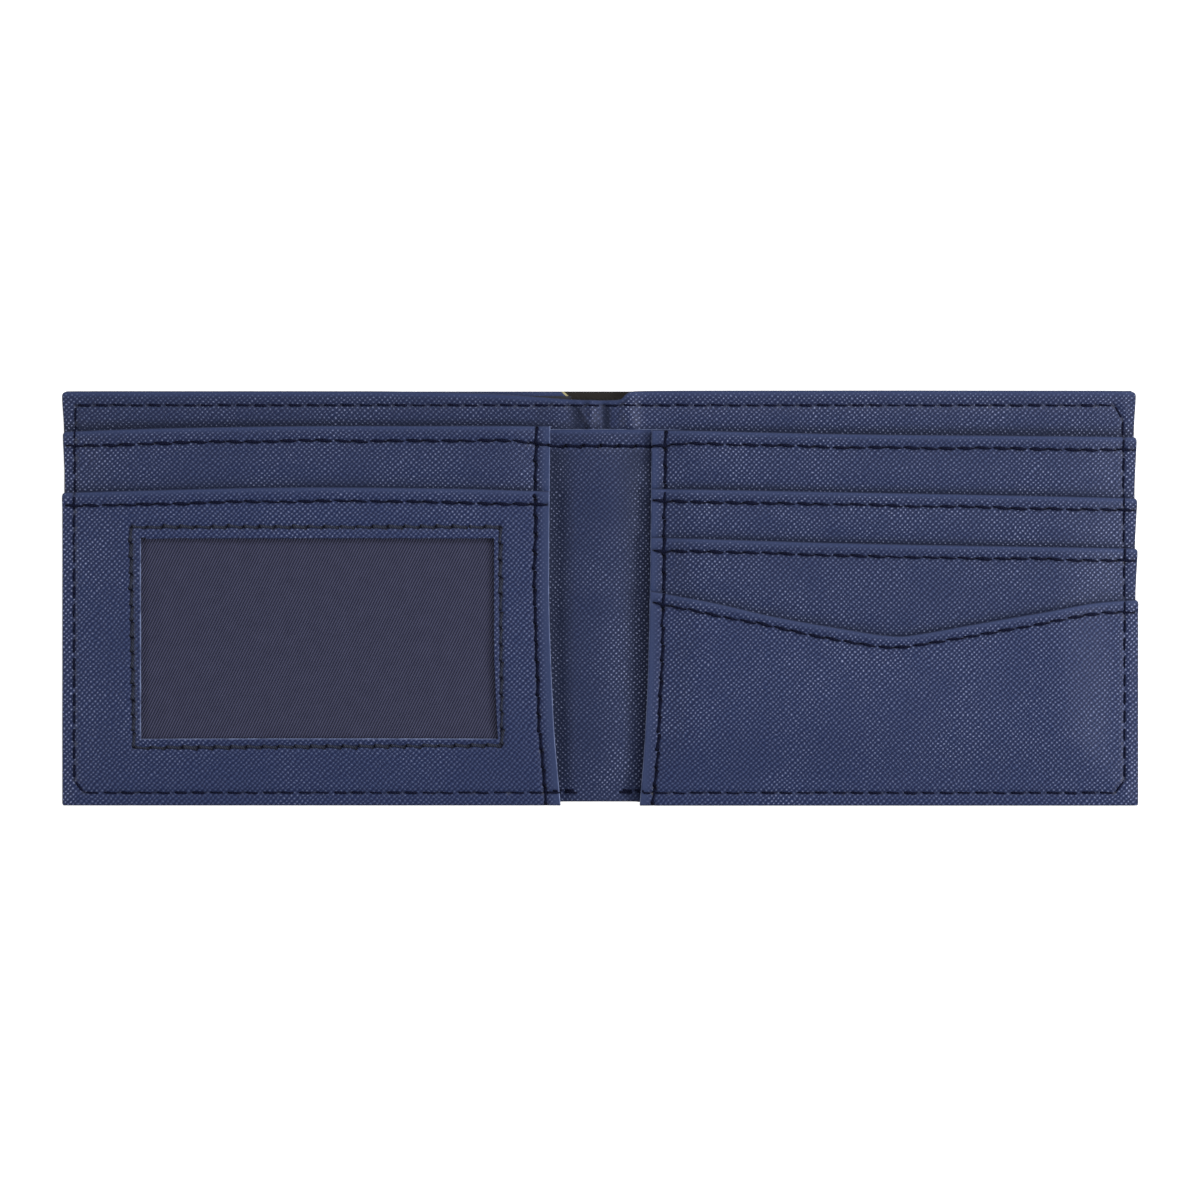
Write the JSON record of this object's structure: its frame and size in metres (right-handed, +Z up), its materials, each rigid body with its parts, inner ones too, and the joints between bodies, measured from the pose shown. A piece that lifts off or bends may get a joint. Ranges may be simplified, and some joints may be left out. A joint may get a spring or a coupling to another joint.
{
  "type": "bifold wallet",
  "caption": "Bifold wallet lying open flat: cross-grain navy covers, an identity window leaf, a card-slot leaf with a V-cut front panel, and a bill compartment.",
  "frame": {"origin": "on the surface the open wallet lies on, under the middle of its outline", "axes": "+X across the two leaves towards the card-slot leaf, +Y towards the mouth of the bill compartment, +Z up out of the open wallet"},
  "size_m": [0.2286, 0.088, 0.0063],
  "materials": {
    "cover_leather": "cross-grain embossed, semi-matte navy, with a plain dark band and fine pale lines on the outside of the spine",
    "panel_leather": "cross-grain embossed, semi-matte navy",
    "lining": "matte navy polyester",
    "twill_lining": "matte slate-navy twill",
    "board": "matte bonded-leather board",
    "window_film": "clear glossy vinyl",
    "thread": "dark navy waxed thread"
  },
  "bodies": {
    "spine": {"outer_cover_spine": "cover_leather", "bill_lining_spine": "lining", "top_facing_spine": "panel_leather", "spine_strip": "panel_leather", "perimeter_thread_spine": "thread", "spine_strip_hem_thread": "thread"},
    "left_leaf": {"outer_cover_left": "cover_leather", "cover_stiffener_left": "board", "bill_lining_left": "lining", "top_facing_left": "panel_leather", "bill_front_wall_left": "lining", "spine_strip_flap_left": "panel_leather", "left_slot_panel": "panel_leather", "left_slot_lining": "lining", "id_pocket_lining": "twill_lining", "id_window_film": "window_film", "id_window_panel": "panel_leather", "left_slot_hem_thread": "thread", "id_panel_hem_thread": "thread", "perimeter_thread_left": "thread", "inner_edge_thread_left": "thread", "window_thread": "thread"},
    "right_leaf": {"outer_cover_right": "cover_leather", "cover_stiffener_right": "board", "bill_lining_right": "lining", "top_facing_right": "panel_leather", "bill_front_wall_right": "lining", "spine_strip_flap_right": "panel_leather", "card_panel_1": "panel_leather", "card_panel_2": "panel_leather", "card_panel_3": "panel_leather", "front_panel": "panel_leather", "card_lining_1": "lining", "card_lining_2": "lining", "card_lining_3": "lining", "card_lining_4": "lining", "card_1_hem_thread": "thread", "card_2_hem_thread": "thread", "card_3_hem_thread": "thread", "front_panel_hem_thread": "thread", "perimeter_thread_right": "thread", "inner_edge_thread_right": "thread"}
  },
  "joints": [
    {"name": "right_fold", "type": "hinge", "parent": "spine", "child": "right_leaf", "pos_m": [0.0055, 0, 0.0009], "axis": [0, -1, 0], "range_deg": [0, 90]},
    {"name": "left_fold", "type": "hinge", "parent": "spine", "child": "left_leaf", "pos_m": [-0.0055, 0, 0.0009], "axis": [0, 1, 0], "range_deg": [0, 90]}
  ],
  "couplings": [
    {"joint": "left_fold", "follows": "right_fold", "ratio": 1}
  ]
}
